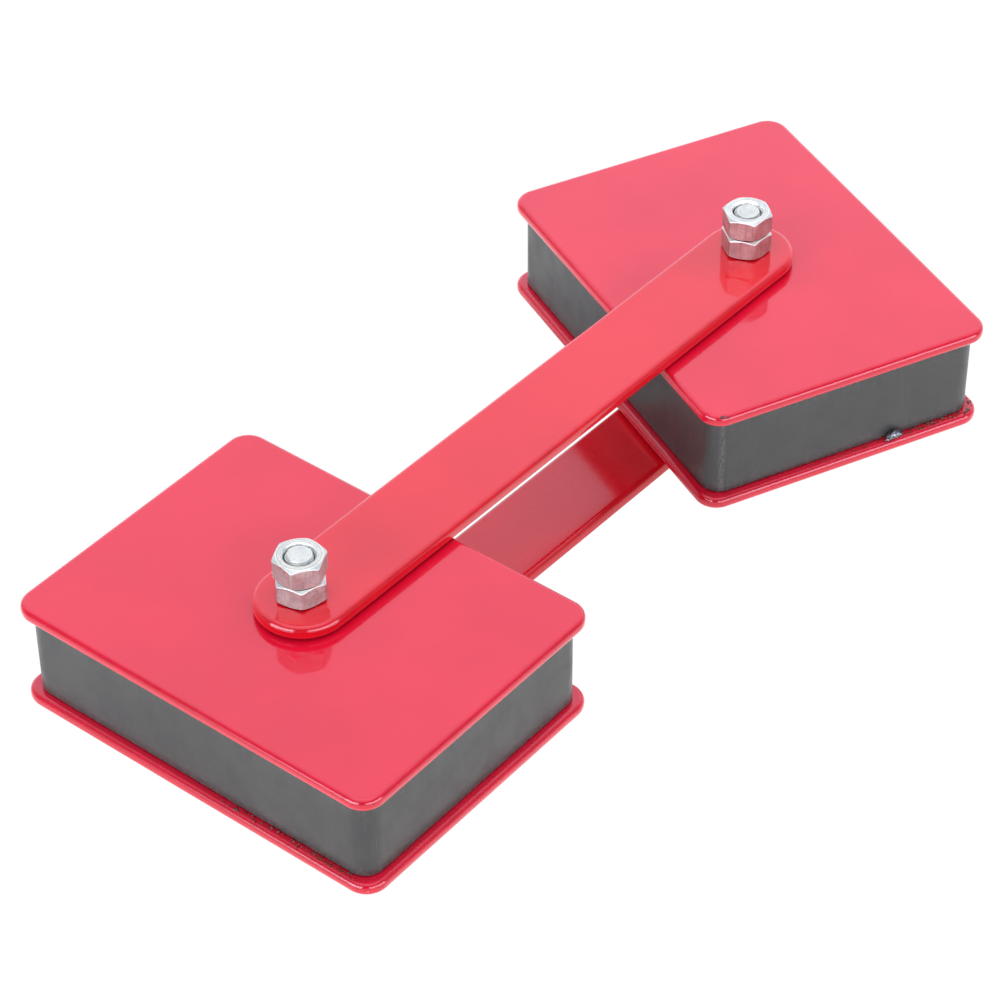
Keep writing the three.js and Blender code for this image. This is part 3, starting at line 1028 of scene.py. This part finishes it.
def fasteners(block):
    axis, seed = AXIS[block], BLOCK_SEED[block]
    bolt = f"bolt_{block}"
    mesh = bolt_mesh(bolt, z_span(bolt)[1] - BOLT_END_GAP[block], hex_angle(bolt, axis))
    look = zinc(f"zinc_{bolt}", (0.5 * seed, 0, 0), streak=0.3, ringed=0.40, spotty=0.12)
    place(bolt + "_threaded", mesh, look, bolt, bolt, axis)
    for nut in (f"clamp_nut_{block}", f"jam_nut_{block}"):
        angle = hex_angle(nut, axis)
        mesh = nut_mesh(nut, *z_span(nut), angle)
        look = zinc("zinc_" + nut, (0.7 * seed + angle, 0.2, 0), **NUT_LOOK[block])
        place(nut + "_threaded", mesh, look, nut, nut, axis)


# ---------------------------------------------------------------- debris
def unit_ball():
    bm = bmesh.new()
    bmesh.ops.create_icosphere(bm, subdivisions=2, radius=1.0)
    verts = np.array([v.co for v in bm.verts])
    faces = [[v.index for v in face.verts] for face in bm.faces]
    bm.free()
    return verts, faces


BALL_VERTS, BALL_FACES = unit_ball()


def bits(name, spots, seed, material, block, rugged=0.30):
    """Small closed lumps; a spot is (x, y, z of its foot, half sizes along x, y, z, turn)."""
    rng = np.random.default_rng(seed)
    verts, faces = [], []
    for x, y, z, half_x, half_y, half_z, turn in spots:
        ripples = rng.uniform(1.5, 3.5, (5, 3)) * rng.choice([-1, 1], (5, 3))
        phases = rng.uniform(0, TAU, 5)
        swell = 1 + rugged * sum(np.sin(BALL_VERTS @ ripples[i] + phases[i])
                                 for i in range(5)) / 2.5
        lump = BALL_VERTS * swell[:, None] * np.array([half_x, half_y, half_z])
        lump = np.column_stack([*rotate(lump[:, 0], lump[:, 1], turn), lump[:, 2]])
        lump += np.array([x, y, z - lump[:, 2].min()])
        first = len(verts)
        verts.extend(lump)
        faces.extend([[first + i for i in face] for face in BALL_FACES])
    place(name, finish_mesh(name, verts, faces), material, f"block_{block}",
          xy=AXIS[block], yaw=YAW[block])


def ledge_z(inset, top):
    """Height of a plate's rounded rim at an inset from its side."""
    drop = max(0.0, COATED_EDGE_R - inset)
    return top - COATED_EDGE_R + math.sqrt(max(COATED_EDGE_R ** 2 - drop * drop, 0.0))


# Swarf lumps on bottom plate B: x, inset from the -Y side, foot against the plate's top,
# half sizes along x, y, z, turn.
LUMPS = [
    (12.2, 0.84, -0.04, 1.70, 0.82, 1.02, 0.05),
    (14.1, 0.98, 0.0, 0.66, 0.48, 0.50, 0.4),
    (10.5, 0.72, -0.08, 0.60, 0.45, 0.42, -0.3),
]

# Coat flakes under the top plates: y of those on the -X side, x of those on the -Y side.
FLAKES_MINUS_X = {"a": (-29.5, -30.6, -31.4, -33.0, -36.8, -37.4, -40.2), "b": ()}
FLAKES_MINUS_Y = {"a": (24.0, 26.5, 27.2, 29.4),
                  "b": (-12.0, 3.5, 18.0, 21.5, 22.3, 25.8, 27.9, 28.6)}


def grit_on_a(rng, top):
    """Grit along the -X rim of bottom plate A."""
    width, length = PLATE_SIZE["a"]
    spots = []
    for _ in range(52):
        y = -length / 2 + PLATE_CORNER_R + 34 * rng.uniform() ** 1.2
        inset = rng.uniform(0.75, 1.75)
        size = rng.uniform(0.06, 0.18)
        spots.append((-width / 2 + inset, y, ledge_z(inset, top), size,
                      size * rng.uniform(1, 2.0), size * 0.8, rng.uniform(-0.5, 0.5)))
    return spots


def grit_on_b(rng, top):
    """Grit along the -Y rim of bottom plate B and round its +X, -Y corner."""
    width, length = PLATE_SIZE["b"]
    spots = []
    for _ in range(46):
        x = 14.5 + 17.5 * rng.uniform() ** 0.8
        inset = rng.uniform(0.75, 1.75)
        size = rng.uniform(0.07, 0.21)
        spots.append((x, -length / 2 + inset, ledge_z(inset, top), size * rng.uniform(1, 1.9),
                      size, size * 0.8, rng.uniform(0, 3)))
    for _ in range(14):
        angle = math.radians(rng.uniform(285, 350))
        inset = rng.uniform(0.75, 1.6)
        size = rng.uniform(0.08, 0.22)
        radius = PLATE_CORNER_R - inset
        spots.append((width / 2 - PLATE_CORNER_R + radius * math.cos(angle),
                      -length / 2 + PLATE_CORNER_R + radius * math.sin(angle),
                      ledge_z(inset, top), size * 1.3, size, size * 0.8, angle))
    return spots


def debris(block):
    """Grinding swarf on the ledge of the bottom plate, flakes of coat under the top plate."""
    width, length = PLATE_SIZE[block]
    seed = DEBRIS_SEED[block]
    rng = np.random.default_rng(seed)
    top = z_span(f"block_{block}_bottom_plate")[1] + 0.04
    if block == "b":
        lumps = [(x, -length / 2 + inset, top + foot, *rest) for x, inset, foot, *rest in LUMPS]
        bits("swarf_b", lumps, seed, swarf("swarf_b", metallic=0.85, rust=(0.0, 0.30)), block)
    grit = {"a": grit_on_a, "b": grit_on_b}[block](rng, top)
    bits(f"grit_{block}", grit, seed + 9,
         swarf(f"grit_{block}", metallic=0.2, rust=(0.55, 1.0)), block)

    under = z_span(f"block_{block}_top_plate")[0]
    places = [(-width / 2 + rng.uniform(1.25, 1.6), y) for y in FLAKES_MINUS_X[block]]
    places += [(x, -length / 2 + rng.uniform(1.25, 1.6)) for x in FLAKES_MINUS_Y[block]]
    flakes = []
    for x, y in places:
        size = rng.uniform(0.10, 0.22)
        flakes.append((x, y, under - 0.04 - 2.2 * size, size * 1.2, size * 1.2, size, 0.0))
    bits(f"coat_flakes_{block}", flakes, seed + 5, flake(f"flake_{block}"), block, rugged=0.2)


def set_material(node, material):
    node.data.materials.clear()
    node.data.materials.append(material)


def inner_parts(block):
    """CAD nodes kept as they are, inside the block."""
    for k in (1, 2):
        magnet = NODES[f"block_{block}_magnet_{k}"]
        set_material(magnet, ferrite(f"ferrite_{block}_{k}", (k * 0.3, 0.1, 0.2)))
        bevel = magnet.modifiers.new("edge", "BEVEL")
        bevel.width, bevel.segments, bevel.limit_method = 0.0002, 2, "ANGLE"
    set_material(NODES[f"block_{block}_sleeve"],
                 plain_steel(f"plain_steel_{block}", (0.4, 0.1, 0.2)))


for k, node in enumerate(("upper_link_bar", "lower_link_bar")):
    link_bar(k, node)
for block in "ab":
    plate(block, "top", 1)
    plate(block, "bottom", 2)
    moulded_body(block)
    fasteners(block)
for block in "ab":
    debris(block)
for block in "ab":
    inner_parts(block)

# ---------------------------------------------------------------- studio, metres
CENTRE = (CAD_BOX[0] + CAD_BOX[1]) / 2
CAM_AT = Vector((-0.37022783, -0.35780354, 0.49949845))
CAM_ROT = Matrix(((0.63484666, 0.50438180, -0.58529371),
                  (-0.77262416, 0.40986322, -0.48483405),
                  (-0.00465111, 0.76000733, 0.64989785)))
VIEW = -(CAM_ROT @ Vector((0, 0, 1)))
AWAY = Vector((VIEW.x, VIEW.y, 0)).normalized()     # level, away from the camera
RIGHT = Vector((AWAY.y, -AWAY.x, 0))                # level, to the camera's right

scene = bpy.context.scene
scene.view_settings.view_transform = "Standard"
scene.view_settings.look = "None"


def add_camera():
    data = bpy.data.cameras.new("camera")
    data.sensor_width = 36.0
    data.lens = 126.04836
    data.clip_start, data.clip_end = 0.01, 50.0
    camera = bpy.data.objects.new("camera", data)
    scene.collection.objects.link(camera)
    camera.matrix_world = Matrix.Translation(CAM_AT) @ CAM_ROT.to_4x4()
    scene.camera = camera


def pale_floor():
    """White to the camera; to other rays it glows, with a painted shadow round the holder."""
    net = material_net("pale_floor")
    cloud = net.remap(net.noise(scale=3.0, detail=2.0, rough=0.55))
    glow = net.new("Emission")
    net.put(glow.inputs["Color"], net.mix(cloud, (0.90, 0.90, 0.90), (0.93, 0.93, 0.93)))
    x, y, _ = net.xyz(net.new("NewGeometry").outputs["Position"])
    # distance from the line y = 0.024 between the two bolts
    past = net.math("MAXIMUM", net.sub(x, AXIS["b"][0] * MM), net.sub(AXIS["a"][0] * MM, x))
    past = net.math("MAXIMUM", past, 0.0)
    beside = net.math("POWER", net.sub(y, 0.024), 2.0)
    away = net.math("SQRT", net.add(net.mul(past, past), beside))
    # painted shadow: the glow dimmed along the bars, seen in the holder's reflections
    net.put(glow.inputs["Strength"], net.remap(away, span=(0.016, 0.062), to=(0.25, 1.0)))
    matt = net.new("BsdfDiffuse")
    net.put(matt.inputs["Color"], (0.24, 0.24, 0.24))
    both = net.new("AddShader")
    net.link(glow.outputs[0], both.inputs[0])
    net.link(matt.outputs[0], both.inputs[1])
    paper = net.new("Emission")
    cloud = net.remap(net.noise(scale=2.0, detail=2.0, rough=0.55))
    net.put(paper.inputs["Color"], net.mix(cloud, (1.01, 1.01, 1.01), (1.03, 1.03, 1.03)))
    choose = net.new("MixShader")
    net.link(net.new("LightPath").outputs["Is Camera Ray"], choose.inputs[0])
    net.link(both.outputs[0], choose.inputs[1])
    net.link(paper.outputs[0], choose.inputs[2])
    net.link(choose.outputs[0], net.out.inputs["Surface"])
    return net.owner


def add_floor():
    """A wide sheet just under the holder."""
    bm = bmesh.new()
    bmesh.ops.create_grid(bm, x_segments=8, y_segments=8, size=6.0)
    mesh = bpy.data.meshes.new("floor")
    bm.to_mesh(mesh)
    bm.free()
    floor = bpy.data.objects.new("floor", mesh)
    scene.collection.objects.link(floor)
    floor.location = (CENTRE.x, CENTRE.y, -0.0001)
    mesh.materials.append(pale_floor())


# Strip windows: degrees to the right of straight away from the camera, half width, lowest and
# highest elevation in degrees, strength.
WINDOWS = [(-136, 24, 0, 30, 8.0), (137, 33, 0, 26, 5.5)]


def cos_deg(angle):
    return math.cos(math.radians(angle))


def sin_deg(angle):
    return math.sin(math.radians(angle))


def add_tent():
    """Soft white tent, brighter beyond the object where its top faces mirror it. The windows
    and the lamp show in gloss only and do not light matt surfaces."""
    world = bpy.data.worlds.new("studio")
    scene.world = world
    net = Net(world, kind="World", space="Generated")
    mirror = Vector((VIEW.x, VIEW.y, -0.93 * VIEW.z)) + 0.05 * Vector((VIEW.y, -VIEW.x, 0))
    lobe = net.remap(net.compare("DOT_PRODUCT", mirror.normalized()), span=(0.35, 0.92))
    beyond = net.compare("DOT_PRODUCT", (AWAY + Vector((0, 0, 0.35))).normalized())
    base = net.remap(beyond, span=(-0.60, 0.60), to=(0.12, 0.55))
    lobe_strength = 0.94
    total = net.math("MULTIPLY_ADD", lobe, lobe_strength, base)
    up = net.xyz(net.coord)[2]
    # the square root reads only its first input
    level = net.math("SQRT", net.sub(1.0, net.mul(up, up)), 0.0)
    shiny = net.sub(1.0, net.new("LightPath").outputs["Is Diffuse Ray"])

    for around, half, low, high, strength in WINDOWS:
        aim = AWAY * cos_deg(around) + RIGHT * sin_deg(around)
        turn = net.math("DIVIDE", net.compare("DOT_PRODUCT", aim), level)
        mask = net.remap(turn, span=(cos_deg(half + 4), cos_deg(half - 4)))
        mask = net.mul(mask, net.remap(up, span=(sin_deg(low - 3), sin_deg(low + 3))))
        mask = net.mul(mask, net.remap(up, span=(sin_deg(high + 6), sin_deg(high - 6))))
        total = net.add(total, net.mul(net.mul(mask, strength), shiny))

    # round lamp overhead, a little toward the camera, for the nut chamfers that face it
    lean, lamp_strength = 12, 1.15
    aim = (-sin_deg(lean) * AWAY + Vector((0, 0, cos_deg(lean)))).normalized()
    lamp = net.remap(net.compare("DOT_PRODUCT", aim), span=(cos_deg(36), cos_deg(20)))
    total = net.add(total, net.mul(net.mul(lamp, lamp_strength), shiny))
    # matt surfaces get 0.48 of the tent, gloss all of it
    total = net.mul(total, net.math("MULTIPLY_ADD", shiny, 0.52, 0.48))
    background = net.new("Background")
    net.put(background.inputs["Strength"], total)
    net.put(background.inputs["Color"], (0.95, 0.98, 1.18))
    net.link(background.outputs[0], net.out.inputs["Surface"])


# Square softboxes: name, offset from the centre to the camera's right, away from the camera
# and up, side, watts.
SOFTBOXES = [
    ("softbox_left", -0.75, 0.30, 0.62, 0.60, 1.6),
    ("softbox_right", 0.75, 0.30, 0.62, 0.60, 2.8),
    ("softbox_above", 0.0, 0.05, 0.90, 0.90, 2.7),
]


def add_softbox(name, across, away, up, side, watts):
    """Area light aimed at the centre, unseen in gloss."""
    data = bpy.data.lights.new(name, "AREA")
    data.shape = "RECTANGLE"
    data.size = data.size_y = side
    data.energy = watts
    light = bpy.data.objects.new(name, data)
    scene.collection.objects.link(light)
    camera_right = CAM_ROT @ Vector((1, 0, 0))
    at = CENTRE + camera_right * across + AWAY * away + Vector((0, 0, up))
    light.location = at
    light.rotation_mode = "QUATERNION"
    light.rotation_quaternion = (at - CENTRE).to_track_quat("Z", "Y")
    light.visible_glossy = False


add_camera()
add_floor()
add_tent()
for softbox in SOFTBOXES:
    add_softbox(*softbox)
